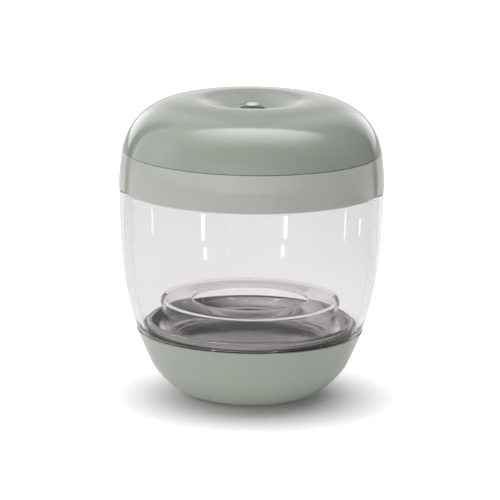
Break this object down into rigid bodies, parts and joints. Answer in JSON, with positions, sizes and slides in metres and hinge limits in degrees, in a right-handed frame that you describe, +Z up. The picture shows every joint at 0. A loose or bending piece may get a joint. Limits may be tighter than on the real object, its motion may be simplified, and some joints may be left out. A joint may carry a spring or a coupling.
{
  "type": "pacifier sterilizer case",
  "caption": "Round tabletop steriliser case for a pacifier: clear vessel on a rounded base with a reflector bowl and stand, under a lift-off domed lid with lamp, battery and button.",
  "frame": {"origin": "middle of the underside, on the surface that the foot ring stands on", "axes": "+Z up along the round axis, -Y front, +Y the charging socket at the back"},
  "size_m": [0.08, 0.08, 0.0907],
  "materials": {
    "shell_plastic": "satin to gloss, sage grey",
    "clear_plastic": "clear, polished",
    "button_lens": "clear, polished",
    "bowl_metallised": "dark metallised",
    "mirror_metal": "polished",
    "quartz": "polished",
    "silicone": "matte",
    "steel": "satin",
    "board_green": "solder mask",
    "black_plastic": "matte",
    "component_tan": "matte",
    "ceramic_white": "matte",
    "foil_silver": "satin foil",
    "tape_black": "matte foam",
    "wire_red": "satin"
  },
  "bodies": {
    "base": {"base_shell": "shell_plastic", "foot_ring": "silicone", "bowl_screws": "steel", "reflector_bowl": "bowl_metallised", "clear_vessel": "clear_plastic", "lid_magnet": "steel"},
    "stand": {"pacifier_stand": "clear_plastic"},
    "lid": {"lid_housing": "shell_plastic", "lid_cover": "shell_plastic", "ceiling_mirror": "mirror_metal", "lamp_board": "mirror_metal", "lamp_window": "quartz", "lid_seal": "silicone", "window_gasket": "silicone", "mirror_screws": "steel", "lamp_screws": "steel", "board_screws": "steel", "cover_screws": "steel", "switch_screws": "steel", "charging_socket": "steel", "main_board": "board_green", "switch_board": "board_green", "socket_tongue": "black_plastic", "controller_chip": "black_plastic", "charger_chip": "black_plastic", "lid_sensor": "black_plastic", "tact_switch": "black_plastic", "boost_coil": "black_plastic", "board_capacitors": "component_tan", "uv_lamps": "ceramic_white", "indicator_lights": "ceramic_white", "battery_cell": "foil_silver", "battery_tape": "tape_black", "battery_leads": "wire_red", "lamp_leads": "wire_red", "switch_leads": "wire_red"},
    "button": {"power_button": "button_lens", "switch_plunger": "black_plastic"}
  },
  "joints": [
    {"name": "lid_lift", "type": "slide", "parent": "base", "child": "lid", "axis": [0, 0, 1], "range_m": [0, 0.06]},
    {"name": "stand_lift", "type": "slide", "parent": "base", "child": "stand", "axis": [0, 0, 1], "range_m": [0, 0.032]},
    {"name": "button_press", "type": "slide", "parent": "lid", "child": "button", "axis": [0, 0, -1], "range_m": [0, 0.00035], "stiffness_N_per_m": 4000}
  ]
}
